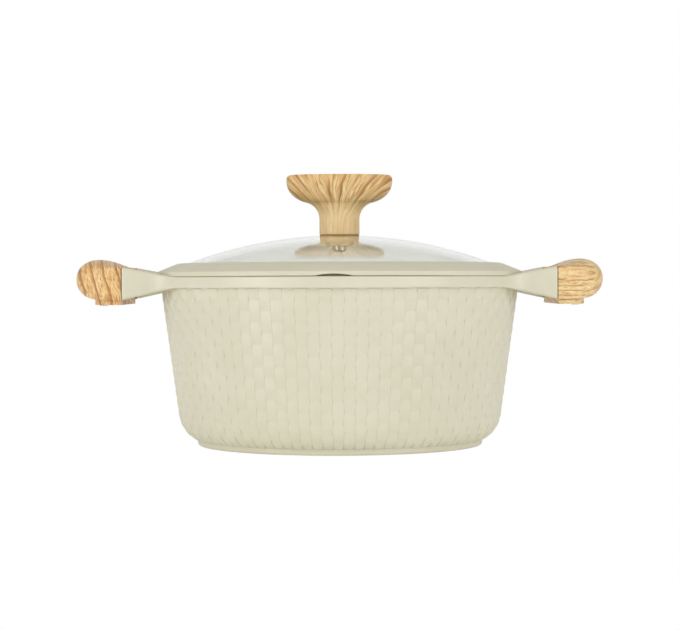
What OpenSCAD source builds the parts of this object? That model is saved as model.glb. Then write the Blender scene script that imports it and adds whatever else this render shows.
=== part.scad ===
// Two-handled casserole pan with a domed glass lid.
// Millimetres, +Z up. The origin is the centre of the base, on the worktop,
// and +X runs out through the right side handle.

/* [Pot] */
// Inside diameter of the mouth
mouth_d = 241; // [230:0.5:244]
// Height of the rim above the worktop
rim_z = 117.1; // [110:0.1:124]
// Outside diameter of the rim band
rim_d = 256; // [254:0.5:258]
// Height of the rim band
rim_h = 7.7; // [6:0.1:9]
// Thickness of the cast wall
wall_t = 3.8; // [3:0.1:4.5]
// Lean of the wall from upright, in degrees
wall_lean = 7.8; // [6:0.1:9]
// Radius of the corner between wall and base
corner_r = 23; // [18:0.5:26]
// Outside diameter of the base ring
base_d = 198.6; // [188:0.1:200]
// Height of the base ring
base_h = 4.4; // [3.5:0.1:5]
// Height of the inside floor above the worktop
floor_z = 5.6; // [5.4:0.1:7]

/* [Side handles] */
// Width of a handle across its two arms
handle_w = 110; // [100:1:116]
// Thickness of an arm
arm_t = 11; // [10:0.5:13]
// Height of an arm where the grip begins
arm_h = 22.5; // [21:0.1:27]
// How far out from the pot's axis the grip begins
grip_x = 147; // [145:0.5:150]
// How far out from the pot's axis the handle reaches
reach_x = 182; // [180:0.5:186]
// Height of the grip at its middle
grip_h = 27.1; // [26:0.1:30]
// How much higher the grip's middle sits than its ends
grip_rise = 3; // [0:0.1:4]

/* [Lid] */
// Radius of the glass dome
dome_r = 300; // [290:1:320]
// Height of the top of the dome above the pot's rim
dome_rise = 28.8; // [28:0.1:30]
// Thickness of the glass
glass_t = 4; // [3.5:0.1:4.2]
// Diameter of the glass
glass_d = 230; // [226:0.5:231]
// Outside diameter of the lid's soft rim
lid_d = 255; // [252:0.5:255.4]
// Width of the steam slot under the lid's rim
slot_w = 22; // [16:1:30]

/* [Knob] */
// Length of the knob's oval top
knob_l = 74; // [68:0.5:80]
// Width of the knob's oval top
knob_w = 39; // [36:0.5:44]
// Height of the knob
knob_h = 42; // [40:0.1:44]
// Diameter of the knob's neck
neck_d = 28; // [27:0.5:31]

/* [Hidden] */

$fn = 96;
eps = 0.01;
arc_steps = 10;

cream = [0.85, 0.83, 0.75];
soft_cream = [0.80, 0.77, 0.69];
wood_look = [0.84, 0.68, 0.45];
steel = [0.72, 0.72, 0.73];
brass = [0.80, 0.66, 0.36];
grey_rubber = [0.35, 0.33, 0.30];

mouth_r = mouth_d / 2;
rim_r = rim_d / 2;
rim_under_z = rim_z - rim_h;
rim_edge = 0.8;                 // small bevel on the rim's edges
under_rim_r = rim_r - 3.8;      // wall radius just under the rim band
seat_depth = 7;                 // straight stretch of the mouth that the lid's lip enters
base_r = base_d / 2;
base_edge = 2;
base_angle = 60;                // the corner's arc ends at this slope, on the base ring
plate_r = 88;
plate_t = 1.2;
plate_z = 0.4;                  // the plate stays clear of the worktop
inner_corner_r = corner_r - 3;

half_w = handle_w / 2;
arm_mid_z = rim_under_z + rim_h / 2 - 0.6;
arm_start_x = 106;              // the arms start to grow in height here
arm_fillet = 25;                // blend between the rim and an arm's outer face
gap_fillet = 6;                 // blend inside the finger gap
face_gap = 0.2;                 // each side of the joint between casting and grip

grip_inner_bulge = 4;           // how far the finger side curves out from its ends
bar_h = 10;
bar_x = grip_x + 15;            // centre line of the cast bar inside the grip
bar_half_t = 4.5;
bar_inset = 2.5;                // the bar's outer side from the grip's, where it leaves the arm
bar_end_t = 6;
bar_clear = 0.35;
screw_y = 24;
screw_hole_r = 2.3;
screw_r = 1.9;
insert_r = 3.5;
insert_h = 5.5;
thread_gap = 0.02;              // between a plain shank and the plain bore that stands for a thread
grip_fit = 0.15;

cover_start = 1;                // the cover begins this far out from the arms
cover_back = 13;                // and ends this far inside the grip's outer face
cover_side = 6;
cover_drop = 4;                 // how far the cover stands below the grip
cover_t = 5.4;

lid_gap = 0.2;                  // the lid rests this far above the rim, as a working clearance
apex_z = rim_z + dome_rise;
dome_z = apex_z - dome_r;
glass_r = glass_d / 2;
lid_r = lid_d / 2;
lip_depth = 4;
glass_hole_r = 3.6;

knob_z = apex_z + 0.5;          // underside of the knob
neck_r = neck_d / 2;
knob_foot_h = 10.8;             // the neck runs straight up to here
knob_fillet = 12;               // then it curves out
knob_join_h = 22.3;             // and here it meets the curve of the top
knob_wide_h = knob_h - 5;       // the knob is longest at this height
knob_top_edge = 3;
knob_pos = [0, 0, knob_z];
knob_insert_z = 4;              // depth of the brass insert inside the neck
knob_insert_h = 13;
knob_insert_r = 5;
bolt_r = 2.5;
bolt_hole_r = 3;
washer_hole_r = 2.7;
gasket_t = 1.5;
washer_r = 9.5;
washer_t = 1.2;
lock_washer_r = 4.6;
bolt_head_r = 4.7;
bolt_head_h = 3.2;
under_z = apex_z - glass_t - gasket_t;  // underside of the gasket below the glass

// ---- shared outlines ----

function arc(centre, r, from, to, steps = arc_steps) =
    [for (i = [0:steps]) let (a = from + (to - from) * i / steps) centre + r * [cos(a), sin(a)]];

function signed_power(v, p) = sign(v) * pow(abs(v), p);

// A point on a superellipse: half sizes a and b, squareness n, at parameter t in degrees
function oval_point(a, b, n, t) = [a * signed_power(cos(t), 2 / n), b * signed_power(sin(t), 2 / n)];

function ease_in(u, k = 0.25) = (u < k ? u * u / (2 * k) : u - k / 2) / (1 - k / 2);

function mix(a, b, t) = a + (b - a) * t;

// Joins rings of points, all with the same count, into one closed solid
module loft(rings) {
    count = len(rings[0]);
    last = len(rings) - 1;
    sides = [
        for (i = [0:last - 1], j = [0:count - 1])
            let (k = (j + 1) % count, a = i * count, b = a + count)
                each [[a + j, b + j, b + k], [a + j, b + k, a + k]]
    ];
    bottom = [for (j = [0:count - 1]) j];
    top = [for (j = [count - 1:-1:0]) last * count + j];
    polyhedron(points = [for (ring = rings) each ring], faces = concat(sides, [bottom, top]));
}

module both_sides(right) {
    if (right) children();
    else mirror([1, 0, 0]) children();
}

// ---- the cast pot ----

function wall_r(z) = under_rim_r - (rim_under_z - z) * tan(wall_lean);

corner_z = base_h + corner_r * sin(base_angle);
corner_x = wall_r(corner_z - corner_r * sin(wall_lean)) - corner_r * cos(wall_lean);
inner_corner_z = floor_z + inner_corner_r;
inner_corner_x = wall_r(inner_corner_z - inner_corner_r * sin(wall_lean)) - wall_t
    - inner_corner_r * cos(wall_lean);

module pot_outline() {
    polygon(concat(
        [[0, plate_z + plate_t], [plate_r + 1, plate_z + plate_t], [plate_r + 1, 0]],
        arc([base_r - base_edge, base_edge], base_edge, -90, 0, 4),
        [[base_r, base_h]],
        arc([corner_x, corner_z], corner_r, -base_angle, -wall_lean),
        [[under_rim_r, rim_under_z], [rim_r - rim_edge, rim_under_z], [rim_r, rim_under_z + rim_edge],
         [rim_r, rim_z - rim_edge], [rim_r - rim_edge, rim_z], [mouth_r + rim_edge, rim_z],
         [mouth_r, rim_z - rim_edge], [mouth_r, rim_z - seat_depth],
         [wall_r(rim_z - seat_depth - 1) - wall_t, rim_z - seat_depth - 1]],
        arc([inner_corner_x, inner_corner_z], inner_corner_r, -wall_lean, -90),
        [[0, floor_z]]
    ));
}

// Arc that blends the rim's circle into a face at y = face, outside it or, with side = -1, inside it
function rim_blend(face, r, side) =
    let (cy = face + side * r, cx = sqrt(pow(rim_r + r, 2) - cy * cy), a = atan2(cy, cx))
        side > 0
            ? arc([cx, cy], r, 180 + a, 270)
            : arc([cx, cy], r, 180 + a, 90);

function flip_y(points) = [for (i = [len(points) - 1:-1:0]) [points[i][0], -points[i][1]]];

module arm_plan() {
    outer = rim_blend(half_w, arm_fillet, 1);
    inner = rim_blend(half_w - arm_t, gap_fillet, -1);
    root_angle = atan2(outer[0][1], outer[0][0]);
    gap_angle = atan2(inner[0][1], inner[0][0]);
    end_x = grip_x - face_gap;
    upper = concat(outer, [[end_x, half_w], [end_x, half_w - arm_t]], [for (i = [arc_steps:-1:0]) inner[i]]);
    polygon(concat(
        upper,
        arc([0, 0], rim_r, gap_angle, -gap_angle, 16),
        flip_y(upper),
        arc([0, 0], mouth_r + 2.5, -root_angle, root_angle, 16)
    ));
}

module arm_side() {
    steps = 12;
    xs = [for (i = [0:steps]) mix(arm_start_x, grip_x, i / steps)];
    half_top = arm_h / 2;
    grow = [for (i = [0:steps]) ease_in(i / steps)];
    polygon(concat(
        [[arm_start_x - 10, rim_under_z + 0.1], [arm_start_x - 10, rim_z - 0.1]],
        [for (i = [0:steps]) [xs[i], mix(rim_z - 0.1, arm_mid_z + half_top, grow[i])]],
        [for (i = [steps:-1:0]) [xs[i], mix(rim_under_z + 0.1, arm_mid_z - half_top, grow[i])]]
    ));
}

// Plan of a handle's curved bar: points of one side of it, dx out from the grip's start, half wide in y
function bend(dx, half, n = 3, steps = 24) =
    [for (i = [0:steps]) [grip_x, 0] + oval_point(dx, half, n, -90 + 180 * i / steps)];

module bar_plan(extra = 0) {
    outer = half_w - bar_inset + extra;
    inner = half_w - bar_inset - bar_end_t - extra;
    root_x = grip_x - 3;
    back = bend(bar_x - grip_x - bar_half_t - extra, inner);
    polygon(concat(
        [[root_x, -outer]], bend(bar_x - grip_x + bar_half_t + extra, outer), [[root_x, outer]],
        [[root_x, inner]], [for (i = [len(back) - 1:-1:0]) back[i]], [[root_x, -inner]]
    ));
}

module side_loop() {
    difference() {
        union() {
            intersection() {
                translate([0, 0, arm_mid_z - arm_h]) linear_extrude(2 * arm_h) arm_plan();
                rotate([90, 0, 0]) translate([0, 0, -handle_w]) linear_extrude(2 * handle_w) arm_side();
            }
            translate([0, 0, arm_mid_z - bar_h / 2]) linear_extrude(bar_h) bar_plan();
        }
        translate([0, 0, rim_z]) cylinder(r = rim_r + 0.4, h = 20);
        for (y = [-screw_y, screw_y])
            translate([bar_x, y, 0]) cylinder(r = screw_hole_r, h = 2 * rim_z);
    }
}

module pot_body() {
    color(cream) union() {
        rotate_extrude() pot_outline();
        for (right = [true, false]) both_sides(right) side_loop();
    }
}

module induction_plate() {
    color(steel) difference() {
        translate([0, 0, plate_z]) cylinder(r = plate_r, h = plate_t);
        for (ring = [1:3], i = [0:8 * ring - 1])
            rotate(i * 45 / ring) translate([ring * 25, 0, 0]) cylinder(r = 2.5, h = 10, center = true);
    }
}

// ---- the grips, drawn for the right side and mirrored for the left ----

grip_sides = 24;
grip_rings = 33;

// One cross-section of the grip: at parameter t it spans from the finger side to the outside
function grip_ring(t) =
    let (
        inner = [grip_x + face_gap, 0] + oval_point(grip_inner_bulge, half_w - arm_t, 4, t),
        outer = [grip_x + face_gap, 0] + oval_point(reach_x - grip_x - face_gap, half_w, 3, t),
        middle = (inner + outer) / 2,
        across = (outer - inner) / 2,
        fullness = cos(t),
        swell = pow(fullness, 1.6),
        half_h = mix(arm_h, grip_h, swell) / 2,
        squareness = mix(6, 2, pow(fullness, 0.5))
    )
        [for (i = [0:grip_sides - 1])
            let (p = oval_point(1, half_h, squareness, 360 * i / grip_sides), q = middle + across * p[0])
                [q[0], q[1], arm_mid_z + grip_rise * swell + p[1]]];

module grip_solid() {
    loft([for (i = [0:grip_rings - 1]) grip_ring(90 - 180 * i / (grip_rings - 1))]);
}

module cover_plan(extra = 0) {
    intersection() {
        polygon(bend(reach_x - grip_x - cover_back + extra, half_w - cover_side + extra));
        translate([grip_x + cover_start - extra, -half_w]) square([60, handle_w]);
    }
}

cover_top_z = arm_mid_z + grip_rise - grip_h / 2 - cover_drop + cover_t;

module grip_shell() {
    color(wood_look) difference() {
        grip_solid();
        translate([0, 0, arm_mid_z - grip_h])
            linear_extrude(grip_h + bar_h / 2 + bar_clear) bar_plan(bar_clear);
        translate([0, 0, cover_top_z - 20]) linear_extrude(20) cover_plan(grip_fit);
        for (y = [-screw_y, screw_y])
            translate([bar_x, y, arm_mid_z])
                cylinder(r = insert_r, h = bar_h / 2 + bar_clear + insert_h);
    }
}

module grip_cover() {
    color(wood_look) difference() {
        union() {
            translate([0, 0, cover_top_z - cover_t]) linear_extrude(cover_t) cover_plan();
            translate([0, 0, cover_top_z - eps])
                linear_extrude(arm_mid_z - bar_h / 2 - cover_top_z + eps - grip_fit)
                    intersection() {
                        bar_plan(-0.2);
                        cover_plan(-1);
                    }
        }
        for (y = [-screw_y, screw_y]) translate([bar_x, y, 0]) {
            cylinder(r = screw_hole_r, h = 2 * rim_z);
            translate([0, 0, cover_top_z - cover_t - 1]) cylinder(r = 3.6, h = 3);
        }
    }
}

module grip_inserts() {
    color(brass) for (y = [-screw_y, screw_y])
        translate([bar_x, y, arm_mid_z + bar_h / 2 + bar_clear]) difference() {
            cylinder(r = insert_r, h = insert_h);
            translate([0, 0, -1]) cylinder(r = screw_r + thread_gap, h = insert_h + 2);
        }
}

module grip_screws() {
    head_z = cover_top_z - cover_t - 0.7;
    color(steel) for (y = [-screw_y, screw_y])
        translate([bar_x, y, head_z]) difference() {
            union() {
                cylinder(r1 = 2.6, r2 = 3.2, h = 0.8);
                translate([0, 0, 0.8]) cylinder(r = 3.2, h = 1.9);
                cylinder(r = screw_r, h = arm_mid_z + bar_h / 2 + 5 - head_z);
            }
            for (a = [0, 90]) rotate(a) cube([3.4, 0.8, 2.4], center = true);
        }
}

// ---- the lid ----

// Height of the glass at distance r from the axis, on its outer or inner face
function glass_z(r, face_r = dome_r) = dome_z + sqrt(face_r * face_r - r * r);

module glass_body() {
    intersection() {
        difference() {
            translate([0, 0, dome_z]) sphere(r = dome_r);
            translate([0, 0, dome_z]) sphere(r = dome_r - glass_t);
        }
        translate([0, 0, rim_z - 5]) cylinder(r = glass_r, h = 60);
    }
}

module lid_glass() {
    color([0.86, 0.90, 0.89, 0.35]) difference() {
        glass_body();
        translate([0, 0, rim_z]) cylinder(r = glass_hole_r, h = 60);
    }
}

module rim_outline() {
    lip_r = mouth_r - 0.8;
    seal_r = lid_r - 21.2;
    polygon([
        [lid_r, rim_z + 0.4], [lid_r, rim_z + 3.3], [lid_r - 15.2, rim_z + 9.4],
        [seal_r, glass_z(seal_r) + 0.05], [seal_r, glass_z(seal_r) - 7],
        [lip_r - 4, rim_z - 1], [lip_r - 3.2, rim_z - lip_depth], [lip_r - 0.8, rim_z - lip_depth],
        [lip_r, rim_z - 0.8], [lip_r, rim_z + lid_gap],
        [rim_r - 4, rim_z + lid_gap], [rim_r - 3.7, rim_z + 0.4]
    ]);
}

module lid_rim() {
    slot_h = 1.3;
    slot_r = (slot_w * slot_w / 4 + slot_h * slot_h) / (2 * slot_h);
    color(soft_cream) difference() {
        rotate_extrude() rim_outline();
        glass_body();
        rotate([0, 0, -1.6]) translate([0, 0, rim_z + 0.4 + slot_h - slot_r])
            rotate([90, 0, 0]) cylinder(r = slot_r, h = 2 * lid_d, center = true);
    }
}

// ---- the knob and what holds it ----

// Half length of the knob at height h above its underside
function knob_reach(h) =
    let (
        half = knob_l / 2,
        start = neck_r + knob_fillet,
        join = start - sqrt(pow(knob_fillet, 2) - pow(knob_join_h - knob_foot_h, 2)),
        mid = half * 0.48,
        drop = (knob_wide_h - knob_join_h) / sqrt(1 - pow((join - mid) / (half - mid), 2))
    )
        h < knob_foot_h ? neck_r
        : h < knob_join_h ? start - sqrt(pow(knob_fillet, 2) - pow(h - knob_foot_h, 2))
        : h < knob_wide_h ? mid + (half - mid) * sqrt(1 - pow((knob_wide_h - h) / drop, 2))
        : h < knob_h - knob_top_edge ? half
        : half - knob_top_edge + sqrt(max(0, pow(knob_top_edge, 2) - pow(h - knob_h + knob_top_edge, 2)));

function knob_ring(h) =
    let (
        a = knob_reach(h),
        spread = (a - neck_r) / (knob_l / 2 - neck_r),
        b = neck_r + (knob_w / 2 - neck_r) * spread
    )
        [for (i = [47:-1:0]) let (p = oval_point(a, b, mix(2, 2.4, spread), 7.5 * i)) [p[0], p[1], h]];

module knob_solid() {
    curve_h = knob_join_h - knob_foot_h;
    heights = concat(
        [0, knob_foot_h],
        [for (i = [1:8]) knob_foot_h + curve_h * sin(11.25 * i)],
        [for (i = [1:9]) knob_wide_h - (knob_wide_h - knob_join_h) * cos(10 * i)],
        [knob_h - knob_top_edge],
        [for (i = [1:5]) knob_h - knob_top_edge + knob_top_edge * sin(18 * i)]
    );
    loft([for (h = heights) knob_ring(h)]);
}

module knob_body() {
    color(wood_look) translate(knob_pos) difference() {
        knob_solid();
        translate([0, 0, -1]) cylinder(r = bolt_hole_r, h = knob_insert_z + knob_insert_h + 7);
        translate([0, 0, knob_insert_z]) cylinder(r = knob_insert_r, h = knob_insert_h);
    }
}

module knob_insert() {
    color(brass) translate(knob_pos + [0, 0, knob_insert_z]) difference() {
        cylinder(r = knob_insert_r, h = knob_insert_h);
        translate([0, 0, -1]) cylinder(r = bolt_r + thread_gap, h = knob_insert_h + 2);
    }
}

// Points from the bolt hole out to r along a face of the glass
function along_glass(r, face_r, slack) =
    [for (i = [0:4]) let (x = mix(washer_hole_r, r, i / 4)) [x, glass_z(x, face_r) + slack]];

module knob_seat_gasket() {
    reach = neck_r - 0.3;
    color(grey_rubber) rotate_extrude()
        polygon(concat([[washer_hole_r, knob_z]], along_glass(reach, dome_r, 0.01), [[reach, knob_z]]));
}

module knob_under_gasket() {
    gasket_r = washer_r + 0.5;
    color(grey_rubber) rotate_extrude()
        polygon(concat(
            [[washer_hole_r, under_z]], along_glass(gasket_r, dome_r - glass_t, 0), [[gasket_r, under_z]]
        ));
}

module ring(outer_r, inner_r, h) {
    difference() {
        cylinder(r = outer_r, h = h);
        translate([0, 0, -1]) cylinder(r = inner_r, h = h + 2);
    }
}

module knob_washer() {
    color(steel) translate([0, 0, under_z - washer_t]) ring(washer_r, washer_hole_r, washer_t);
}

lock_z = under_z - 2 * washer_t;

module knob_lock_washer() {
    color(steel) translate([0, 0, lock_z]) difference() {
        ring(lock_washer_r, washer_hole_r, washer_t);
        rotate(20) translate([2, -0.4, -1]) cube([4, 0.8, 4]);
    }
}

module knob_screw() {
    shank_h = knob_z + knob_insert_z + knob_insert_h + 1 - lock_z;
    color(steel) translate([0, 0, lock_z - bolt_head_h]) difference() {
        union() {
            cylinder(r1 = bolt_head_r - 1.1, r2 = bolt_head_r, h = 1.2);
            translate([0, 0, 1.2]) cylinder(r = bolt_head_r, h = bolt_head_h - 1.2);
            cylinder(r = bolt_r, h = shank_h + bolt_head_h);
        }
        for (a = [0, 90]) rotate(a) cube([4.6, 1, 3.4], center = true);
    }
}

pot_body();
induction_plate();
both_sides(true) grip_shell();  // right_grip_shell
both_sides(true) grip_cover();  // right_grip_cover
both_sides(true) grip_inserts();  // right_grip_inserts
both_sides(true) grip_screws();  // right_grip_screws
both_sides(false) grip_shell();  // left_grip_shell
both_sides(false) grip_cover();  // left_grip_cover
both_sides(false) grip_inserts();  // left_grip_inserts
both_sides(false) grip_screws();  // left_grip_screws
lid_glass();
lid_rim();
knob_body();
knob_insert();
knob_seat_gasket();
knob_under_gasket();
knob_washer();
knob_lock_washer();
knob_screw();
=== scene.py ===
import math

import bmesh
import bpy
import numpy as np
from mathutils import Matrix, Vector


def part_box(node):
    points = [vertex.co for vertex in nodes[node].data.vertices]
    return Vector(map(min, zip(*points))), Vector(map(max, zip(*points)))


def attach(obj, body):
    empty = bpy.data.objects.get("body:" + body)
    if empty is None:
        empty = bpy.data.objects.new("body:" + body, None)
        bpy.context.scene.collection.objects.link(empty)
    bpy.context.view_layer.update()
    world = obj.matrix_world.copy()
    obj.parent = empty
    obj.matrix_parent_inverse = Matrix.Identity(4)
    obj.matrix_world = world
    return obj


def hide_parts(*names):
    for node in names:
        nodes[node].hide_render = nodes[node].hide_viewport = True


mm = 0.001
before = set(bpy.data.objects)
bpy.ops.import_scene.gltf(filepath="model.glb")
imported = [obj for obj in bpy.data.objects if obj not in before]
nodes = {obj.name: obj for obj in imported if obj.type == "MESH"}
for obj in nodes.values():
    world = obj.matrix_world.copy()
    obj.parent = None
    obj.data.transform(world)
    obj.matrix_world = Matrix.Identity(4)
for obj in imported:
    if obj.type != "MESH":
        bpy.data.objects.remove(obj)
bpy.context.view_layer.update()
print("frame loaded:", len(nodes), "parts")

# Heights in mm, taken from the frame
lipDepth, seatThick = 4, 0.5
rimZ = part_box("lid_rim")[0].z / mm + lipDepth  # the lid's lip reaches down into the mouth
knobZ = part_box("knob_body")[0].z / mm
domeTopZ = knobZ - seatThick  # the knob stands on a thin gasket


class Wire:  # one value on its way through a node tree, so that sums can be written as sums
    def __init__(self, graph, socket):
        self.graph, self.socket = graph, socket

    def output(self, name):
        return Wire(self.graph, self.socket.node.outputs[name])

    def __add__(self, other):
        return self.graph.maths("ADD", self, other)

    def __sub__(self, other):
        return self.graph.maths("SUBTRACT", self, other)

    def __rsub__(self, other):
        return self.graph.maths("SUBTRACT", other, self)

    def __mul__(self, other):
        return self.graph.maths("MULTIPLY", self, other)

    def __truediv__(self, other):
        return self.graph.maths("DIVIDE", self, other)

    def __pow__(self, other):
        return self.graph.maths("POWER", self, other)

    def __mod__(self, other):
        return self.graph.maths("FLOORED_MODULO", self, other)

    def __abs__(self):
        return self.graph.maths("ABSOLUTE", self)

    __radd__ = __add__
    __rmul__ = __mul__


class Graph:  # a node tree and the few ways of adding to it
    def __init__(self, tree):
        self.tree = tree

    def node(self, kind, settings=None, inputs=None, output=0):
        made = self.tree.nodes.new(kind)
        for name, value in (settings or {}).items():
            setattr(made, name, value)
        for name, value in (inputs or {}).items():
            if isinstance(value, Wire):
                self.tree.links.new(value.socket, made.inputs[name])
            else:
                made.inputs[name].default_value = value
        return Wire(self, made.outputs[output]) if made.outputs else made

    def maths(self, operation, *values):
        return self.node("ShaderNodeMath", {"operation": operation}, dict(enumerate(values)))

    def vector(self, operation, *values, output=0):
        return self.node("ShaderNodeVectorMath", {"operation": operation}, dict(enumerate(values)), output)

    def split(self, wire):
        parts = self.node("ShaderNodeSeparateXYZ", inputs={0: wire})
        return parts, parts.output("Y"), parts.output("Z")

    def join(self, x, y, z):
        return self.node("ShaderNodeCombineXYZ", inputs={0: x, 1: y, 2: z})

    def blend(self, factor, first, second):
        return self.node("ShaderNodeMix", {"data_type": "RGBA"}, {0: factor, 6: first, 7: second}, 2)

    def fade(self, wire, low, high):  # 0 below low, 1 above high, smooth between
        return self.node("ShaderNodeMapRange", {"interpolation_type": "SMOOTHSTEP"},
                         {"Value": wire, "From Min": low, "From Max": high})

    def noise(self, place, scale, detail, roughness):
        return self.node("ShaderNodeTexNoise", None, {
            "Vector": place, "Scale": scale, "Detail": detail, "Roughness": roughness})


def srgb(red, green, blue):  # a colour as seen, 0 to 255, made linear
    def linear(value):
        value /= 255
        return value / 12.92 if value <= 0.04045 else ((value + 0.055) / 1.055) ** 2.4
    return (linear(red), linear(green), linear(blue), 1.0)


def newMaterial(name, **constants):
    material = bpy.data.materials.new(name)
    material.use_nodes = True
    graph = Graph(material.node_tree)
    shader = material.node_tree.nodes["Principled BSDF"]
    for socket, value in constants.items():
        shader.inputs[socket.replace("_", " ")].default_value = value
    return material, graph, shader


def plug(graph, shader, **links):
    for socket, wire in links.items():
        graph.tree.links.new(wire.socket, shader.inputs[socket.replace("_", " ")])


def objectPlace(graph):
    return graph.node("ShaderNodeTexCoord", output="Object")


def bump(graph, height, distance):
    return graph.node("ShaderNodeBump", None, {"Strength": 1.0, "Distance": distance, "Height": height})


# The coat on pot, rim and arms: faintly cloudy, finely gritty, with painted shade where the relief is deep
def makeCoat(name, look):
    material, graph, shader = newMaterial(
        name, Specular_IOR_Level=look["gloss"], Coat_Roughness=look["coatRoughness"],
        Coat_Weight=look["coat"])
    place = objectPlace(graph)
    relief = graph.node("ShaderNodeAttribute", {"attribute_name": "relief"}, output="Fac")
    cloud = graph.noise(place, look["cloudScale"], 3, 0.55)
    speck = graph.noise(place, look["speckScale"], 2, 0.6)
    tone = graph.fade(cloud * 0.8 + speck * 0.2, 0.3, 0.72)
    colour = graph.blend(tone, look["shade"], look["colour"])
    # painted shade: the coat is darkened in the deep grooves and end notches of the relief
    groove = graph.fade(0 - relief, look["grooveShadeStart"], look["grooveShadeEnd"])
    colour = graph.blend(groove * look["grooveShadeAmount"], colour, look["grooveShadeColour"])
    skin = graph.noise(place, look["skinScale"], 2, 0.5)
    grit = graph.noise(place, look["gritScale"], 1, 0.5)
    plug(graph, shader, Base_Color=colour,
         Roughness=look["roughness"] + (cloud - 0.5) * 0.12 + (speck - 0.5) * 0.06,
         Normal=bump(graph, skin * 0.75 + grit * 0.25, look["skinDepth"]))
    return material


coat = dict(
    colour=srgb(217, 213, 191), shade=srgb(212, 208, 184), grooveShadeColour=srgb(164, 156, 126),
    grooveShadeStart=0.00045, grooveShadeEnd=0.001, grooveShadeAmount=0.3,
    roughness=0.36, gloss=0.5, coat=0.12, coatRoughness=0.25, skinDepth=0.00003,
    cloudScale=28, speckScale=2600, skinScale=620, gritScale=3200,
)
creamCoat = makeCoat("creamCoat", coat)


# The lid's soft rim and the rubber gaskets, with a dusty grain
def makeSilicone(name, look):
    material, graph, shader = newMaterial(name, Specular_IOR_Level=0.4)
    place = objectPlace(graph)
    cloud = graph.noise(place, look["cloudScale"], 3, 0.5)
    dust = graph.noise(place, look["dustScale"], 3, 0.6)
    colour = graph.blend(graph.fade(cloud * 0.6 + dust * 0.4, 0.35, 0.65), look["shade"], look["colour"])
    plug(graph, shader, Base_Color=colour, Roughness=look["roughness"] + (cloud - 0.5) * 0.1,
         Normal=bump(graph, dust, look["grain"]))
    return material


rubberScales = dict(cloudScale=40, dustScale=1500)
rimSilicone = makeSilicone("rimSilicone", dict(
    rubberScales,
    colour=srgb(218, 212, 188), shade=srgb(212, 206, 181), roughness=0.5, grain=0.00004))
greyRubber = makeSilicone("greyRubber", dict(
    rubberScales,
    colour=srgb(150, 146, 138), shade=srgb(132, 128, 121), roughness=0.62, grain=0.00006))
brownRubber = makeSilicone("brownRubber", dict(
    rubberScales,
    colour=srgb(178, 140, 92), shade=srgb(160, 122, 76), roughness=0.6, grain=0.00006))


def makeGlass(look):
    material, graph, shader = newMaterial("lidGlass", IOR=look["ior"], Transmission_Weight=1.0)
    place = objectPlace(graph)
    haze = graph.noise(place, look["hazeScale"], 3, 0.5)
    plug(graph, shader,
         Base_Color=graph.blend(graph.fade(haze, 0.3, 0.7), look["colour"], look["tint"]),
         Roughness=graph.fade(haze, 0.2, 0.9) * look["haze"])
    return material


lidGlassLook = makeGlass(dict(
    ior=1.46, colour=srgb(250, 251, 246), tint=srgb(246, 248, 242), haze=0.02, hazeScale=60))


# Metal brushed either in rings round an axis or along it
def makeMetal(name, look):
    material, graph, shader = newMaterial(name)
    place = objectPlace(graph)
    x, y, z = graph.split(graph.vector("SUBTRACT", place, look["centre"]))
    radius = (x * x + y * y) ** 0.5
    if look["brush"] == "round":
        lines = graph.noise(graph.join(radius, z, 0.0), look["lines"], 2, 0.6)
    else:
        lines = graph.noise(graph.join(x * 0.1, y * 0.1, z), look["lines"], 2, 0.6)
    stain = graph.noise(place, look["stainScale"], 3, 0.55)
    tone = graph.fade(stain * 0.5 + lines * 0.5, 0.3, 0.7)
    plug(graph, shader, Base_Color=graph.blend(tone, look["shade"], look["colour"]),
         Metallic=graph.fade(stain, -1.0, -0.5), Roughness=look["roughness"] + (lines - 0.5) * 0.25,
         Normal=bump(graph, lines, look["depth"]))
    return material


metalPlace = dict(centre=(0, 0, 0), stainScale=90)
plateSteel = makeMetal("plateSteel", dict(
    metalPlace, brush="round", lines=900, colour=srgb(206, 206, 208), shade=srgb(176, 176, 179),
    roughness=0.36, depth=0.00002))
boltSteel = makeMetal("boltSteel", dict(
    metalPlace, brush="long", lines=1800, colour=srgb(214, 214, 216), shade=srgb(182, 182, 186),
    roughness=0.28, depth=0.00001))
insertBrass = makeMetal("insertBrass", dict(
    metalPlace, brush="long", lines=1500, colour=srgb(222, 196, 128), shade=srgb(196, 166, 98),
    roughness=0.34, depth=0.00001))


# Growth lines rise slowly to a dark edge, then turn light again; along is the way the grain runs
def woodLines(graph, along, across, look):
    path = graph.join(across * look["acrossScale"], along * look["alongScale"], look["seed"])
    sway = graph.noise(path, 1.0, 3, 0.55) - 0.5
    swayed = across + sway * look["sway"]
    broad = swayed / look["pitch"] + look["shift"]
    ramp = broad % 1.0
    edge = graph.fade(ramp, look["edgeStart"], 0.92) * (1 - graph.fade(ramp, 0.93, 1.0))
    line = graph.join(broad - ramp, along * look["pickScale"], look["seed"] + 3)
    picked = graph.noise(line, 1.7, 1, 0.5)  # only some lines are dark, and only in places
    dark = edge * graph.fade(picked, look["pickLow"], look["pickHigh"])
    fibre = graph.join(swayed * look["fineScale"], along * look["fineAlong"], look["seed"] + 7)
    fine = graph.noise(fibre, 1.0, 3, 0.6)
    hair = graph.join(swayed * look["fineScale"] * 1.5, along * look["fineAlong"] * 1.7, look["seed"] + 11)
    hairs = graph.noise(hair, 1.0, 2, 0.55)
    return dark, fine, hairs, ramp


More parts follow.
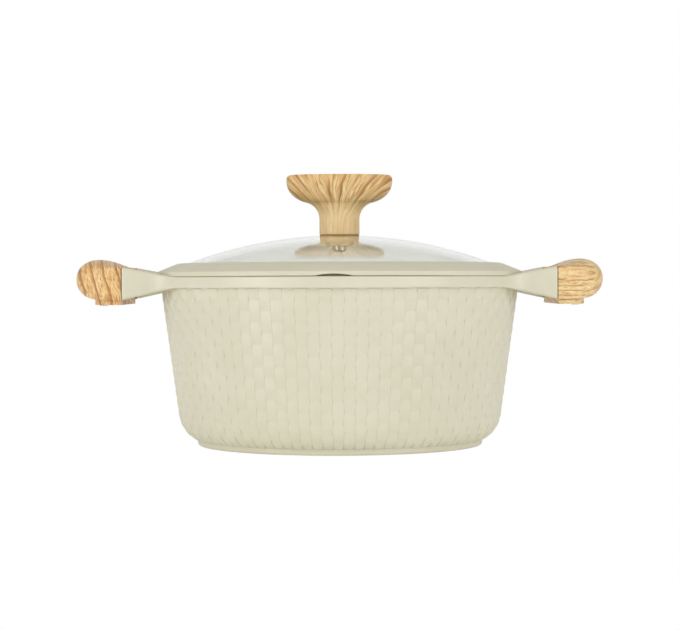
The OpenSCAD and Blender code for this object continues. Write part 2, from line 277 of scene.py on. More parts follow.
def makeWood(name, look):
    material, graph, shader = newMaterial(
        name, Specular_IOR_Level=0.45, Coat_Weight=0.1, Coat_Roughness=0.3)
    if look["source"] == "attribute":
        place = graph.node("ShaderNodeAttribute", {"attribute_name": "grain"}, output="Vector")
    else:
        place = objectPlace(graph)
    x, y, z = graph.split(place)
    along, across = look["field"](graph, x, y, z)
    dark, fine, hairs, ramp = woodLines(graph, along, across, look)
    livelyAboveLitNeck = 0.45 + 0.55 * graph.fade(along, look["litNeckCalmFrom"], look["litNeckCalmTo"])  # calmer grain at the neck, where the colour is also painted lighter as painted light
    cloud = graph.noise(place, look["cloudScale"], 2, 0.5)
    colour = graph.blend(graph.fade(fine * 0.7 + hairs * 0.3, 0.36, 0.62), look["mid"], look["light"])
    colour = graph.blend(graph.fade(cloud, 0.4, 0.7) * look["warmAmount"], colour, look["warm"])
    colour = graph.blend(graph.fade(ramp, 0.25, 0.95) * look["shadeAmount"] * livelyAboveLitNeck, colour, look["shade"])
    fibres = 1 - graph.fade(fine, 0.38, 0.46)
    colour = graph.blend(fibres * look["fineAmount"] * livelyAboveLitNeck, colour, look["fineColour"])
    colour = graph.blend((1 - graph.fade(hairs, 0.34, 0.42)) * look["hairAmount"], colour, look["dark"])
    colour = graph.blend(dark * look["darkAmount"] * (0.5 + hairs) * livelyAboveLitNeck, colour, look["dark"])
    # painted light: the neck is painted lighter, standing in for light that it gets too little of under the
    # head
    colour = graph.blend((1 - livelyAboveLitNeck) * 0.9, colour, look["light"])
    plug(graph, shader, Base_Color=colour, Roughness=look["roughness"] + (fine - 0.5) * 0.16,
         Normal=bump(graph, fine * 0.6 - dark * 0.5 + hairs * 0.4, look["depth"]))
    return material


woodTones = dict(
    light=srgb(244, 218, 163), mid=srgb(230, 192, 130), warm=srgb(226, 182, 114), shade=srgb(211, 162, 96),
    fineColour=srgb(194, 136, 68), dark=srgb(156, 90, 32), roughness=0.45, depth=0.00005, warmAmount=0.5,
    litNeckCalmFrom=-1, litNeckCalmTo=-0.9, cloudScale=55,
)


def knobField(graph, x, y, z):
    return z, x - y * 0.2


def leftField(graph, x, y, z):
    return z, x + z * 0.24 + y * 0.1


def rightField(graph, x, y, z):  # lines run along the handle and bend round a long eye near its end
    dx, dz = x - 0.172, z - 0.119
    stretched = graph.maths("MINIMUM", dx, 0.0) * 0.2 + graph.maths("MAXIMUM", dx, 0.0) * 0.8
    return x, (stretched * stretched + dz * dz) ** 0.5 + dx * 0.05 + y * 0.1


knobWoodLook = makeWood("knobWood", dict(
    woodTones, light=srgb(246, 220, 166), mid=srgb(221, 180, 113), source="attribute", field=knobField,
    seed=2.3, acrossScale=130, alongScale=26, sway=0.0038, pitch=0.0028, shift=0.3, edgeStart=0.6,
    pickScale=18, pickLow=0.38, pickHigh=0.56, fineScale=3400, fineAlong=90, shadeAmount=0.55,
    fineAmount=0.8, hairAmount=0.5, darkAmount=0.78, litNeckCalmFrom=0.012, litNeckCalmTo=0.03))
leftWoodLook = makeWood("leftGripWood", dict(
    woodTones, light=srgb(238, 206, 148), mid=srgb(218, 176, 114), source="object", field=leftField, seed=5.1,
    acrossScale=60, alongScale=45, sway=0.0065, pitch=0.0082, shift=0.35, edgeStart=0.66, pickScale=5,
    pickLow=0.2, pickHigh=0.4, fineScale=1250, fineAlong=150, shadeAmount=0.35, fineAmount=0.95,
    hairAmount=0.8, darkAmount=0.8))
rightWoodLook = makeWood("rightGripWood", dict(
    woodTones, light=srgb(240, 216, 164), mid=srgb(226, 190, 132), source="object", field=rightField,
    seed=8.4, acrossScale=90, alongScale=50, sway=0.006, pitch=0.0034, shift=0.1, edgeStart=0.6, pickScale=30,
    pickLow=0.42, pickHigh=0.58, fineScale=1400, fineAlong=150, shadeAmount=0.3, fineAmount=0.65,
    hairAmount=0.5, darkAmount=0.65))
print("materials ready:", len(bpy.data.materials))


def meshPiece(name, points, faces, material=None, smoothAngle=30):
    mesh = bpy.data.meshes.new(name)
    mesh.from_pydata(np.asarray(points) * mm, [], faces)
    piece = bpy.data.objects.new(name, mesh)
    bpy.context.scene.collection.objects.link(piece)
    faceOut(mesh)
    smooth(mesh, smoothAngle)
    if material:
        mesh.materials.append(material)
    return piece


def faceOut(mesh):
    work = bmesh.new()
    work.from_mesh(mesh)
    bmesh.ops.recalc_face_normals(work, faces=work.faces)
    work.to_mesh(mesh)
    work.free()


def smooth(mesh, angle):
    mesh.polygons.foreach_set("use_smooth", [True] * len(mesh.polygons))
    mesh.set_sharp_from_angle(angle=math.radians(angle))


# Faces between neighbouring rings of points; a ring of one point is a pole, and a ring may be a multiple
# of its neighbour, which leaves many-sided faces between them
def joinRings(rings, closed=False):
    starts = np.cumsum([0] + [len(ring) for ring in rings])
    faces = []
    pairs = list(zip(range(len(rings) - 1), range(1, len(rings))))
    if closed:
        pairs.append((len(rings) - 1, 0))
    for low, high in pairs:
        lowCount, highCount = len(rings[low]), len(rings[high])
        count = min(lowCount, highCount)
        if count == 1:
            count = max(lowCount, highCount)
        lowStep, highStep = lowCount // count, highCount // count
        for j in range(count):
            lowSide = [starts[low] + (j * lowStep + i) % lowCount for i in range(lowStep + 1)] \
                if lowCount > 1 else [starts[low]]
            highSide = [starts[high] + (j * highStep + i) % highCount for i in range(highStep + 1)] \
                if highCount > 1 else [starts[high]]
            faces.append([int(i) for i in lowSide + highSide[::-1]])
    return np.vstack(rings), faces


def turnRing(r, z, angles):
    if r == 0:
        return np.array([[0.0, 0.0, z]])
    return np.stack([r * np.sin(angles), -r * np.cos(angles), np.full(len(angles), float(z))], axis=1)


def lathe(profile, steps, closed=False):
    angles = np.arange(steps) * 2 * np.pi / steps
    return joinRings([turnRing(r, z, angles) for r, z in profile], closed)


# A closed outline with its corners rounded; radius is one number, or one for each corner
def rounded(corners, radius, steps=4):
    result, count = [], len(corners)
    radii = radius if isinstance(radius, (list, tuple)) else [radius] * count
    for i in range(count):
        before, here, after = (np.array(corners[(i + k) % count], float) for k in (-1, 0, 1))
        back, ahead = before - here, after - here
        backLength, aheadLength = np.linalg.norm(back), np.linalg.norm(ahead)
        back, ahead = back / backLength, ahead / aheadLength
        reach = min(radii[i], 0.48 * backLength, 0.48 * aheadLength)
        if reach < 1e-6:
            result.append(here)
            continue
        first, last = here + back * reach, here + ahead * reach
        for k in range(steps + 1):
            t = k / steps
            result.append((1 - t) ** 2 * first + 2 * t * (1 - t) * here + t ** 2 * last)
    return result


def powerRing(count, squareness):
    turn = np.arange(count) * 2 * np.pi / count
    c, s = np.cos(turn), np.sin(turn)
    return np.sign(c) * np.abs(c) ** (2 / squareness), np.sign(s) * np.abs(s) ** (2 / squareness)


def oneMesh(piece):  # the evaluated shape as a plain mesh, with its modifiers gone
    depsgraph = bpy.context.evaluated_depsgraph_get()
    shaped = bpy.data.meshes.new_from_object(piece.evaluated_get(depsgraph))
    old = piece.data
    piece.modifiers.clear()
    piece.data = shaped
    shaped.name = piece.name
    bpy.data.meshes.remove(old)
    return piece


def addPiece(piece, body, slot, *replaced):
    if replaced:
        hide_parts(*replaced)
    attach(piece, body)
    print(f"{piece.name}: {len(piece.data.polygons)} faces, on {body}")
    return piece


# The bowl, in mm and degrees
bowl = dict(
    mouthR=120.5, rimR=128, rimHeight=7.7, underRimR=124.2, wallThick=3.8, wallLean=7.8, cornerR=23,
    baseR=99.3, baseHeight=4.4, baseEdge=2, floorZ=5.6, innerCornerR=20, recessR=89, recessZ=1.6,
    recessBevel=0.3, footAngle=60, edgeSteps=6, bendSteps=12, intoRim=2,
)
# Its relief: upright strips, each a chain of bulges, with neighbours half a bulge apart
weave = dict(
    columns=96, turn=1.31, cellHeight=14.585, firstCrease=0.45, rowHeight=1.4585,
    acrossColumn=(0, 0.045, 0.12, 0.25, 0.42, 0.58, 0.75, 0.88, 0.955),
    depth=0.66, ridge=1.4, crown=0.06, grooveDepth=0.07, grooveWidth=0.06, wander=0.28, endLength=7,
    endDepth=0.7,
)
rimUnderZ = rimZ - bowl["rimHeight"]
lean = math.radians(bowl["wallLean"])
footAngle = math.radians(bowl["footAngle"])
cornerZ = bowl["baseHeight"] + bowl["cornerR"] * math.sin(footAngle)
straight = (rimUnderZ - cornerZ + bowl["cornerR"] * math.sin(lean)) / math.cos(lean)
cornerX = bowl["underRimR"] - straight * math.sin(lean) - bowl["cornerR"] * math.cos(lean)
wallLength = straight + bowl["cornerR"] * (footAngle - lean)


def wallPoint(s):  # radius and height of the outer wall, s mm down it from the rim
    if s <= straight:
        return bowl["underRimR"] - s * math.sin(lean), rimUnderZ - s * math.cos(lean)
    slope = lean + (s - straight) / bowl["cornerR"]
    return cornerX + bowl["cornerR"] * math.cos(slope), cornerZ - bowl["cornerR"] * math.sin(slope)


def innerWall():
    r = bowl["innerCornerR"]
    z = bowl["floorZ"] + r
    touch = (rimUnderZ - z + r * math.sin(lean)) * math.tan(lean)
    x = bowl["underRimR"] - touch - bowl["wallThick"] - r * math.cos(lean)
    top = [(bowl["mouthR"] + 1.2, rimUnderZ + bowl["intoRim"]), (bowl["mouthR"] - 0.1, rimUnderZ + 0.1)]
    turns = np.linspace(lean, math.pi / 2, bowl["bendSteps"])
    bend = [(x + r * math.cos(a), z - r * math.sin(a)) for a in turns]
    return top + bend + [(60, bowl["floorZ"]), (25, bowl["floorZ"]), (0, bowl["floorZ"])]


# Pushes the wall's points in and out along the strips; its inputs are the values in weave
def weaveTree():
    tree = bpy.data.node_groups.new("weave", "GeometryNodeTree")
    tree.interface.new_socket("Geometry", in_out="INPUT", socket_type="NodeSocketGeometry")
    sizes = {}
    for name in ("cellHeight", "firstCrease", "depth", "ridge", "crown", "grooveDepth", "grooveWidth",
                 "wander", "wallLength", "endLength", "endDepth"):
        made = tree.interface.new_socket(name, in_out="INPUT", socket_type="NodeSocketFloat")
        sizes[name] = made.identifier
    finish = tree.interface.new_socket("finish", in_out="INPUT", socket_type="NodeSocketMaterial")
    sizes["finish"] = finish.identifier
    tree.interface.new_socket("Geometry", in_out="OUTPUT", socket_type="NodeSocketGeometry")
    graph = Graph(tree)
    given = graph.node("NodeGroupInput", output="Geometry")
    size = {name: given.output(name) for name in sizes}

    def attribute(name):
        return graph.node("GeometryNodeInputNamedAttribute", {"data_type": "FLOAT"}, {"Name": name})

    s, around, woven = attribute("alongWall"), attribute("aroundWall"), attribute("woven")
    column = graph.maths("FLOOR", around)
    u = around - column
    odd = column % 2.0
    v = ((s - size["firstCrease"]) / size["cellHeight"] + 0.5 * (1 - odd)) % 1.0
    facing = (v + 0.5) % 1.0
    bulge = 1 - abs(2 * v - 1) ** size["ridge"]
    otherBulge = 1 - abs(2 * facing - 1) ** size["ridge"]
    side = 2 * u - 1
    crown = 1 - size["crown"] * side ** 4
    atSeam = 1 - graph.fade(u, 0.0, 0.03)  # where two strips meet, the lower one gives the height
    lower = graph.maths("MINIMUM", bulge, otherBulge)
    surface = bulge + (lower - bulge) * atSeam
    toEdge = graph.maths("MINIMUM", u, 1 - u)
    ending = graph.fade(s, size["wallLength"] - size["endLength"], size["wallLength"])
    width = size["grooveWidth"] * (1 + 1.6 * ending)
    groove = 1 - graph.node("ShaderNodeMapRange", {"interpolation_type": "SMOOTHSTEP"},
                            {"Value": toEdge, "From Min": 0.0, "From Max": width})
    cut = groove * (size["grooveDepth"] + size["endDepth"] * ending)
    height = (size["depth"] * (surface - 0.6) * crown * (1 - ending * 0.7) - cut) * woven
    shift = size["wander"] * (bulge - otherBulge) * side * (1 - ending) * woven
    normal = graph.node("GeometryNodeInputNormal")
    position = graph.node("GeometryNodeInputPosition")
    outward = graph.vector("NORMALIZE", graph.vector("MULTIPLY", position, (1, 1, 0)))
    sideways = graph.vector("CROSS_PRODUCT", (0, 0, 1), outward)

    def scaled(direction, amount):
        values = {0: direction, "Scale": amount * mm}
        return graph.node("ShaderNodeVectorMath", {"operation": "SCALE"}, values)

    offset = graph.vector("ADD", scaled(normal, height), scaled(sideways, shift))
    shaped = graph.node("GeometryNodeSetPosition", None, {"Geometry": given, "Offset": offset})
    stored = graph.node("GeometryNodeStoreNamedAttribute", {"data_type": "FLOAT", "domain": "POINT"},
                        {"Geometry": shaped, "Name": "relief", "Value": height * mm})
    real = graph.node("GeometryNodeRealizeInstances", None, {"Geometry": stored})
    painted = graph.node("GeometryNodeSetMaterial", None, {"Geometry": real, "Material": size["finish"]})
    graph.node("NodeGroupOutput", None, {"Geometry": painted})
    return tree, sizes


def buildWall():
    columns = weave["columns"]
    turn = math.radians(weave["turn"])
    pitch = 2 * math.pi / columns
    spread = (np.arange(columns)[:, None] + np.array(weave["acrossColumn"])[None, :]).ravel()
    fineAngles = turn + spread * pitch
    coarseAngles = turn + np.arange(columns) * pitch
    rows = [0.0] + list(np.arange(weave["firstCrease"], wallLength - 0.3, weave["rowHeight"])) + [wallLength]
    rings, along, around, woven = [], [], [], []

    def add(ring, s, place, weight):
        rings.append(ring)
        along.append(np.full(len(ring), s))
        around.append(place if len(place) == len(ring) else np.zeros(len(ring)))
        woven.append(np.full(len(ring), weight))

    edge, bevel = bowl["baseEdge"], bowl["recessBevel"]
    base = [(0, bowl["recessZ"]), (40, bowl["recessZ"]), (bowl["recessR"], bowl["recessZ"]),
            (bowl["recessR"], bevel), (bowl["recessR"] + bevel, 0)]
    for a in np.linspace(0, math.pi / 2, bowl["edgeSteps"]):
        base.append((bowl["baseR"] - edge + edge * math.sin(a), edge - edge * math.cos(a)))
    base += [(bowl["baseR"], bowl["baseHeight"] - bevel), (bowl["baseR"] + bevel, bowl["baseHeight"])]
    for r, z in base:
        add(turnRing(r, z, coarseAngles), 0, [], 0)
    for s in rows[::-1]:
        r, z = wallPoint(s)
        weight = min(1, s / weave["firstCrease"]) if s < 1 else 1
        add(turnRing(r, z, fineAngles), s, spread, weight)
    add(turnRing(bowl["underRimR"], rimUnderZ + bowl["intoRim"], coarseAngles), 0, [], 0)
    for r, z in innerWall():
        add(turnRing(r, z, coarseAngles), 0, [], 0)
    points, faces = joinRings(rings)
    wall = meshPiece("potWall", points, faces, None, 30)
    for name, values in (("alongWall", along), ("aroundWall", around), ("woven", woven)):
        layer = wall.data.attributes.new(name, "FLOAT", "POINT")
        layer.data.foreach_set("value", np.concatenate(values).astype(np.float32))
    tree, sizes = weaveTree()
    modifier = wall.modifiers.new("weave", "NODES")
    modifier.node_group = tree
    values = dict(weave, wallLength=wallLength, finish=creamCoat)
    for name, identifier in sizes.items():
        modifier[identifier] = values[name] if name == "finish" else float(values[name])
    wall.update_tag()
    oneMesh(wall)
    smooth(wall.data, 9)
    for name in ("alongWall", "aroundWall", "woven"):
        wall.data.attributes.remove(wall.data.attributes[name])
    return addPiece(wall, "pot", "cream_casting", "pot_body")


buildWall()

# The rim band with its four arms, and the cast bars inside the grips
loop = dict(
    halfWidth=55, armThick=11, armHeight=22.5, armMid=112.65, armStart=106, gripX=147, outerFillet=25,
    innerFillet=6, endX=146.86, rimBevel=0.7, rimSteps=360, sectionPoints=48, voxel=0.65, relaxSteps=5,
    bendFrom=105, bendTo=131, bendRings=40, straightFrom=132, straightRings=18,
    barX=162, barHalfThick=4.5, barHeight=10, barInset=2.5, barEnd=6, barRoot=3, barSteps=32,
)


def easeIn(u, k=0.25):  # starts gently over the first k of the way, then runs straight
    return (u * u / (2 * k) if u < k else u - k / 2) / (1 - k / 2)


# One slice across an arm at x: hollow fillets where it leaves the rim, deeper towards the grip
def armSection(x):
    grow = easeIn(max(0, (x - loop["armStart"]) / (loop["gripX"] - loop["armStart"])))
    rimR, half, thick = bowl["rimR"], loop["halfWidth"], loop["armThick"]
    r = loop["outerFillet"]
    cy = half + r
    cx = math.sqrt((rimR + r) ** 2 - cy ** 2)
    outer = half if x >= cx else cy - math.sqrt(max(r * r - (cx - x) ** 2, 0))
    outer = min(outer, math.sqrt((rimR - 0.6) ** 2 - x ** 2)) if x < rimR * cx / (rimR + r) else outer
    r = loop["innerFillet"]
    cy = half - thick - r
    cx = math.sqrt((rimR + r) ** 2 - cy ** 2)
    inner = half - thick if x >= cx else cy + math.sqrt(max(r * r - (cx - x) ** 2, 0))
    depth = bowl["mouthR"] + 2.4
    inner = max(inner if x > cx - r else cy, math.sqrt(depth ** 2 - x ** 2) if x < depth else 0)
    top = (rimZ - 0.1) * (1 - grow) + (loop["armMid"] + loop["armHeight"] / 2) * grow
    low = (rimUnderZ + 0.1) * (1 - grow) + (loop["armMid"] - loop["armHeight"] / 2) * grow
    c, s = powerRing(loop["sectionPoints"], 12 - 5 * grow)  # nearly square, softer at the grip
    y = (inner + outer) / 2 + c * (outer - inner) / 2
    z = (top + low) / 2 + s * (top - low) / 2
    return np.stack([np.full(len(c), x), y, z], axis=1)


def closedLoft(rings):
    ends = [rings[0].mean(axis=0)[None, :], rings[-1].mean(axis=0)[None, :]]
    return joinRings([ends[0]] + list(rings) + [ends[1]])


def bendLine(dx, half):  # the loop's rounded end, seen from above
    t = np.linspace(-math.pi / 2, math.pi / 2, loop["barSteps"] + 1)
    c, s = np.cos(t), np.sin(t)
    x = loop["gripX"] + dx * np.abs(c) ** (2 / 3)
    return np.stack([x, half * np.sign(s) * np.abs(s) ** (2 / 3)], axis=1)


def barRings():
    outer = loop["halfWidth"] - loop["barInset"]
    inner = outer - loop["barEnd"]
    out = bendLine(loop["barX"] - loop["gripX"] + loop["barHalfThick"], outer)
    back = bendLine(loop["barX"] - loop["gripX"] - loop["barHalfThick"], inner)
    root = loop["gripX"] - loop["barRoot"]
    out = np.vstack([[root, -outer], out, [root, outer]])
    back = np.vstack([[root, -inner], back, [root, inner]])
    low, high = loop["armMid"] - loop["barHeight"] / 2, loop["armMid"] + loop["barHeight"] / 2
    rings = []
    for o, b in zip(out, back):
        corners = [(*b, low), (*o, low), (*o, high), (*b, high)]
        rings.append(np.array(corners))
    return rings


def mirrored(points, x=1, y=1):
    return np.asarray(points) * np.array([x, y, 1])


def buildRim():
    work = []
    section = rounded([(bowl["mouthR"], rimUnderZ), (bowl["rimR"], rimUnderZ), (bowl["rimR"], rimZ),
                       (bowl["mouthR"], rimZ)], loop["rimBevel"], 2)
    work.append(lathe(section, loop["rimSteps"], closed=True))
    xs = np.concatenate([np.linspace(loop["bendFrom"], loop["bendTo"], loop["bendRings"]),
                         np.linspace(loop["straightFrom"], loop["endX"], loop["straightRings"])])
    arm = closedLoft([armSection(x) for x in xs])
    for sx in (1, -1):
        for sy in (1, -1):
            work.append((mirrored(arm[0], sx, sy), arm[1]))
    points, faces, start = [], [], 0
    for shape, its in work:
        points.append(shape)
        faces += [[i + start for i in face] for face in its]
        start += len(shape)
    rim = meshPiece("potRim", np.vstack(points), faces, creamCoat, 40)
    remesh = rim.modifiers.new("skin", "REMESH")
    remesh.mode, remesh.voxel_size, remesh.use_smooth_shade = "VOXEL", loop["voxel"] * mm, True
    relax = rim.modifiers.new("relax", "SMOOTH")
    relax.factor, relax.iterations = 0.5, loop["relaxSteps"]
    oneMesh(rim)
    smooth(rim.data, 60)
    bars, barFaces, start = [], [], 0
    shape, its = closedLoft(barRings())
    for sx in (1, -1):
        bars.append(mirrored(shape, sx))
        barFaces += [[i + start for i in face] for face in its]
        start += len(shape)
    bar = meshPiece("gripBars", np.vstack(bars), barFaces, creamCoat, 30)
    bpy.ops.object.select_all(action="DESELECT")
    for piece in (bar, rim):
        piece.select_set(True)
    bpy.context.view_layer.objects.active = rim
    bpy.ops.object.join()
    if not rim.data.materials:
        rim.data.materials.append(creamCoat)
    return addPiece(rim, "pot", "cream_casting", "pot_body")


buildRim()

# The wood-look grips: rings swept round each loop's end, square at the arms and round in the middle
grip = dict(
    reachX=182, height=27.1, rise=3, innerBulge=4, startX=147.15, swellPower=1.6, endSquare=7, midSquare=2,
    ringSteps=44, sectionPoints=56,
)


def gripRings(side):
    rings = []
    there = np.linspace(0, 1, grip["ringSteps"] + 1)
    ease = np.concatenate([there, there[::-1][1:]])
    half, finger = loop["halfWidth"], loop["halfWidth"] - loop["armThick"]
    for i, p in enumerate(ease):
        full = math.sin(math.pi / 2 * p) ** 1.5
        turn = math.acos(min(1, full)) * (1 if i <= grip["ringSteps"] else -1)
        c, s = math.cos(turn), math.sin(turn)
        c = max(c, 0)
        inner = np.array([grip["startX"] + grip["innerBulge"] * c ** 0.5,
                          finger * np.sign(s) * abs(s) ** 0.5])
        outer = np.array([grip["startX"] + (grip["reachX"] - grip["startX"]) * c ** (2 / 3),
                          half * np.sign(s) * abs(s) ** (2 / 3)])
        middle, across = (inner + outer) / 2, (outer - inner) / 2
        swell = c ** grip["swellPower"]
        halfHeight = (loop["armHeight"] * (1 - swell) + grip["height"] * swell) / 2
        squareness = grip["endSquare"] + (grip["midSquare"] - grip["endSquare"]) * c ** 0.5
        a, b = powerRing(grip["sectionPoints"], squareness)
        flat = middle[None, :] + across[None, :] * a[:, None]
        ring = np.column_stack([flat, loop["armMid"] + grip["rise"] * swell + halfHeight * b])
        rings.append(ring * np.array([side, 1, 1]))
    return rings


for name, side, wood in (("right", 1, rightWoodLook), ("left", -1, leftWoodLook)):
    points, faces = closedLoft(gripRings(side))
    shell = meshPiece(name + "Grip", points, faces, wood, 40)
    addPiece(shell, "pot", "wood_look", name + "_grip_shell")

# The lid: a domed glass in a soft rim, which sits close at the sides and a little ajar in front and behind
lid = dict(
    outerR=127.5, domeR=300, glassR=115, glassThick=4, holeR=3.6, lipR=119.7, seated=0.14, ajar=0.22,
    ajarFrom=0.55, bandZ=3.3, chamferIn=15.2, chamferZ=9.4, topIn=21.2, steps=480, slotHalf=12,
    slotHeight=1.3, slotTurn=-1.6, glassSteps=256, glassRings=44, clear=0.06,
)
domeZ = domeTopZ - lid["domeR"]


def glassHeight(r, thick=0):
    return domeZ + math.sqrt((lid["domeR"] - thick) ** 2 - r * r)


def buildGlass():
    radii = list(np.linspace(lid["holeR"], lid["glassR"] - 0.8, lid["glassRings"]))
    outside = [(r, glassHeight(r)) for r in radii]
    inside = [(r, glassHeight(r, lid["glassThick"])) for r in radii[::-1]]
    edgeR = lid["glassR"]
    edge = [(edgeR, glassHeight(edgeR) - 0.9), (edgeR, glassHeight(edgeR, lid["glassThick"]) + 0.9)]
    points, faces = lathe(outside + edge + inside, lid["glassSteps"], closed=True)
    glass = meshPiece("glassDome", points, faces, lidGlassLook, 25)
    return addPiece(glass, "lid", "lid_glass", "lid_glass")


# Height of the lid's underside: seated at the sides, ajar at front and back, with a steam slot in each
def underLid(angles, r):
    turned = angles - math.radians(lid["slotTurn"])
    ajar = np.clip(np.cos(turned) ** 2 - lid["ajarFrom"], 0, 1) / (1 - lid["ajarFrom"])
    across = np.abs(r * np.sin(turned)) / lid["slotHalf"]
    slot = np.clip(1 - across ** 2, 0, 1) * lid["slotHeight"]
    return rimZ + lid["seated"] + lid["ajar"] * ajar + slot


def buildLidRim():
    out, top, lip = lid["outerR"], lid["outerR"] - lid["topIn"], lid["lipR"]
    low, clear, edge, thick = rimZ + lid["seated"], lid["clear"], lid["glassR"], lid["glassThick"]
    foot = rimZ - lipDepth
    corners = [  # radius, height, rounding: out and up to the top edge, round the glass, down the lip
        (out, low, 0.4), (out, rimZ + lid["bandZ"], 0.6),
        (out - lid["chamferIn"], rimZ + lid["chamferZ"], 2.5),
        (top, glassHeight(top) + 0.1, 0.03), (top, glassHeight(top) + clear, 0),
        (edge + clear, glassHeight(edge) + clear, 0), (edge + clear, glassHeight(edge, thick) - clear, 0),
        (top, glassHeight(top, thick) - clear, 0), (top, glassHeight(top) - 7, 0.6),
        (lip - 4, rimZ - 1, 1.5), (lip - 3.2, foot, 1), (lip - 0.8, foot, 0.6), (lip, rimZ - 0.8, 0.3),
        (lip, low, 0.1)]
    profile = rounded([corner[:2] for corner in corners], [corner[2] for corner in corners], 4)
    angles = np.arange(lid["steps"]) * 2 * np.pi / lid["steps"]
    rings = [turnRing(r, z, angles) for r, z in profile]
    for ring, (r, z) in zip(rings, profile):
        if r > lip - 0.3 and rimZ < z < low + 1:
            ring[:, 2] = np.maximum(ring[:, 2], underLid(angles, r))
    points, faces = joinRings(rings, closed=True)
    rim = meshPiece("lidRim", points, faces, rimSilicone, 28)
    return addPiece(rim, "lid", "rim_silicone", "lid_rim")


buildGlass()
buildLidRim()

# The knob: a round neck that opens into a long oval head, with a blind bore for its thread
knob = dict(
    length=74, width=39, height=42, neckR=14, footHeight=10.8, fillet=12, joinHeight=22.3, wideBelowTop=5,
    topEdge=3, crown=0.5, fanWidth=42, boreR=3, insertR=5, insertFrom=4, insertHeight=13, around=112,
)


def knobReach(h):  # half its length at height h above the lid
    half, neck, fillet = knob["length"] / 2, knob["neckR"], knob["fillet"]
    foot, join, wide = knob["footHeight"], knob["joinHeight"], knob["height"] - knob["wideBelowTop"]
    start = neck + fillet
    joinR = start - math.sqrt(fillet ** 2 - (join - foot) ** 2)
    mid = half * 0.48
    drop = (wide - join) / math.sqrt(1 - ((joinR - mid) / (half - mid)) ** 2)
    if h < foot:
        return neck
    if h < join:
        return start - math.sqrt(fillet ** 2 - (h - foot) ** 2)
    if h < wide:
        return mid + (half - mid) * math.sqrt(1 - ((wide - h) / drop) ** 2)
    edge = knob["height"] - knob["crown"] - knob["topEdge"]
    if h < edge:
        return half
    return half - knob["topEdge"] + math.sqrt(max(0, knob["topEdge"] ** 2 - (h - edge) ** 2))


def buildKnob():
    turn = np.arange(knob["around"]) * 2 * np.pi / knob["around"]
    neck, half = knob["neckR"], knob["length"] / 2
    rings, grains = [], []

    def add(a, b, squareness, h, weight):
        if a == 0:
            ring = np.array([[0.0, 0.0, h]])
        else:
            c, s = powerRing(knob["around"], squareness)
            ring = np.column_stack([a * c, b * s, np.full(len(turn), h)])
        rings.append(ring + np.array([0, 0, knobZ]))
        grains.append(ring * np.array([weight, weight, 1]) * mm)

    def fan(h):  # how much the grain has opened at this height, as a share of the neck
        climb = max(0, h - knob["footHeight"]) / (knob["height"] - knob["footHeight"])
        return knob["neckR"] / (knob["neckR"] + knob["fanWidth"] * climb ** 1.25)

    top = knob["insertFrom"] + knob["insertHeight"]
    start, bore, insert = knob["insertFrom"], knob["boreR"], knob["insertR"]
    for r, h in ((0, top + 7), (bore, top + 6), (bore, top), (insert, top), (insert, start), (bore, start),
                 (bore, 0)):
        add(r, r, 2, h, 1)
    foot, join, wide = knob["footHeight"], knob["joinHeight"], knob["height"] - knob["wideBelowTop"]
    edge = knob["height"] - knob["crown"] - knob["topEdge"]
    heights = [0, 0.35] + list(np.linspace(1.5, foot, 5))
    heights += [foot + (join - foot) * math.sin(a) for a in np.linspace(0, math.pi / 2, 16)[1:]]
    heights += [wide - (wide - join) * math.cos(a) for a in np.linspace(0, math.pi / 2, 18)[1:]]
    heights += [edge + knob["topEdge"] * math.sin(a) for a in np.linspace(0, math.pi / 2, 9)]
    for h in heights:
        a = knobReach(h)
        spread = (a - neck) / (half - neck)
        b = neck + (knob["width"] / 2 - neck) * spread
        shrink = 0.35 if h == 0 else 0
        add(a - shrink, b - shrink, 2 + 0.4 * spread, h, fan(h))
    flat = half - knob["topEdge"]
    for share in (0.93, 0.8, 0.6, 0.4, 0.2, 0):
        a = flat * share
        b = (knob["width"] / 2 - knob["topEdge"] + 0.6) * share
        rise = knob["crown"] * (1 - share ** 2)
        add(a, b, 2.4, knob["height"] - knob["crown"] + rise, fan(knob["height"]))
    points, faces = joinRings(rings)
    body = meshPiece("knobWood", points, faces, knobWoodLook, 40)
    layer = body.data.attributes.new("grain", "FLOAT_VECTOR", "POINT")
    layer.data.foreach_set("vector", np.vstack(grains).astype(np.float32).ravel())
    return addPiece(body, "lid", "wood_look", "knob_body")


buildKnob()

# The fittings keep their own shapes and only get a finish
fittings = dict(
    knob_insert=insertBrass, knob_seat_gasket=brownRubber, knob_under_gasket=greyRubber,
    knob_washer=boltSteel, knob_lock_washer=boltSteel, knob_screw=boltSteel, induction_plate=plateSteel,
    right_grip_inserts=insertBrass, left_grip_inserts=insertBrass, right_grip_screws=boltSteel,
    left_grip_screws=boltSteel, right_grip_cover=rightWoodLook, left_grip_cover=leftWoodLook,
)
for name, finish in fittings.items():
    nodes[name].data.materials.clear()
    nodes[name].data.materials.append(finish)
print("fittings painted:", len(fittings))

# Floor, light and camera; sizes in metres, light in watts
studio = dict(
    floorHalf=6.0, floorColour=srgb(250, 250, 249), floorShade=srgb(248, 248, 247), floorGlow=0.14,
    low=0.5, high=0.58, front=0.96, behind=0.95, throughGlass=1.0, lightTarget=(0, 0, 0.08),
    riseStart=0.1, riseEnd=0.6, frontStart=0.1, frontEnd=0.9, behindStart=0.93, behindEnd=0.99,
    lights=(
        ("leftSoftbox", (-0.85, -0.7, 0.3), (0.45, 0.8), 3.5),
        ("rightSoftbox", (0.85, -0.7, 0.3), (0.45, 0.8), 3.1),
        ("topSoftbox", (0, 0.1, 1.8), (1.4, 1.4), 1),
        ("backSoftbox", (0, 2.0, 1.0), (1.6, 1.0), 0.6),
    ),
    cameraPlace=(0.0002, -1.4, 0.1133), cameraTilt=0.945, cameraRoll=-0.17, lens=105.9,
)


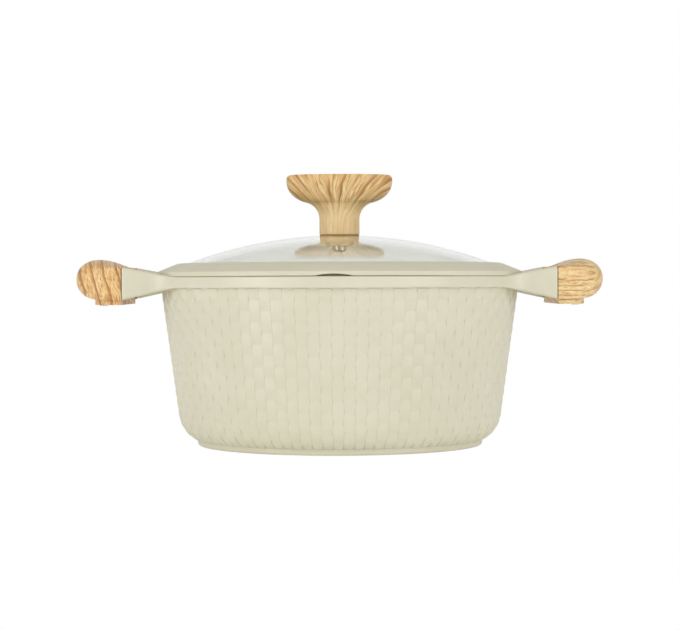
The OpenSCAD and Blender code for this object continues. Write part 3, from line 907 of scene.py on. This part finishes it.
def buildFloor():
    half = studio["floorHalf"] / mm
    floor = meshPiece("floor", [(-half, -half, 0), (half, -half, 0), (half, half, 0), (-half, half, 0)],
                      [[0, 1, 2, 3]])
    material, graph, shader = newMaterial(
        "paleFloor", Roughness=0.7, Specular_IOR_Level=0.2, Emission_Color=(1, 1, 1, 1),
        Emission_Strength=studio["floorGlow"])
    cloud = graph.noise(objectPlace(graph), 3.0, 3, 0.5)
    plug(graph, shader, Base_Color=graph.blend(cloud, studio["floorColour"], studio["floorShade"]))
    # Looked at straight, the floor is as white as the backdrop; it still gives and takes light as usual
    plain = graph.node("ShaderNodeEmission", None, {"Color": (1, 1, 1, 1), "Strength": 1.0})
    seen = graph.node("ShaderNodeLightPath", output="Is Camera Ray")
    mixed = graph.node("ShaderNodeMixShader", None, {0: seen, 1: Wire(graph, shader.outputs[0]), 2: plain})
    under = graph.node("ShaderNodeNewGeometry", output="Backfacing")
    clear = graph.node("ShaderNodeBsdfTransparent")
    mixed = graph.node("ShaderNodeMixShader", None, {0: under, 1: mixed, 2: clear})  # open from below
    finish = material.node_tree.nodes["Material Output"]
    material.node_tree.links.new(mixed.socket, finish.inputs["Surface"])
    floor.data.materials.append(material)
    if floor.data.polygons[0].normal.z < 0:
        floor.data.flip_normals()


def buildWorld():  # a white backdrop with soft, uneven light in it
    world = bpy.data.worlds.new("studio")
    bpy.context.scene.world = world
    world.use_nodes = True
    graph = Graph(world.node_tree)
    direction = graph.node("ShaderNodeTexCoord", output="Generated")
    x, y, up = graph.split(direction)
    fall = graph.fade(up, studio["riseStart"], studio["riseEnd"])
    ahead = graph.fade(0 - y, studio["frontStart"], studio["frontEnd"])
    background = world.node_tree.nodes["Background"]
    colour = graph.blend(ahead, (studio["low"],) * 3 + (1,), (studio["front"],) * 3 + (1,))
    colour = graph.blend(fall, colour, (studio["high"],) * 3 + (1,))
    backdrop = graph.fade(y, studio["behindStart"], studio["behindEnd"])
    colour = graph.blend(backdrop, colour, (studio["behind"],) * 3 + (1,))
    rays = graph.node("ShaderNodeLightPath", output="Is Camera Ray")
    colour = graph.blend(rays.output("Is Transmission Ray"), colour, (studio["throughGlass"],) * 3 + (1,))
    colour = graph.blend(rays, colour, (1, 1, 1, 1))
    world.node_tree.links.new(colour.socket, background.inputs["Color"])


def addLight(name, place, size, power):
    light = bpy.data.lights.new(name, "AREA")
    light.shape, light.size, light.size_y, light.energy = "RECTANGLE", *size, power
    lamp = bpy.data.objects.new(name, light)
    bpy.context.scene.collection.objects.link(lamp)
    lamp.location = place
    lamp.rotation_euler = (Vector(studio["lightTarget"]) - Vector(place)).to_track_quat("-Z", "Y").to_euler()


buildFloor()
buildWorld()
for lightName, lightPlace, lightSize, lightPower in studio["lights"]:
    addLight(lightName, lightPlace, lightSize, lightPower)

lensCamera = bpy.data.cameras.new("camera")
lensCamera.lens, lensCamera.sensor_width = studio["lens"], 36
camera = bpy.data.objects.new("camera", lensCamera)
bpy.context.scene.collection.objects.link(camera)
camera.location = studio["cameraPlace"]
tilt, roll = math.radians(90 - studio["cameraTilt"]), math.radians(studio["cameraRoll"])
camera.rotation_euler = (Matrix.Rotation(tilt, 3, "X") @ Matrix.Rotation(roll, 3, "Z")).to_euler()
bpy.context.scene.camera = camera
bpy.context.scene.view_settings.view_transform = "Standard"
print("studio ready")
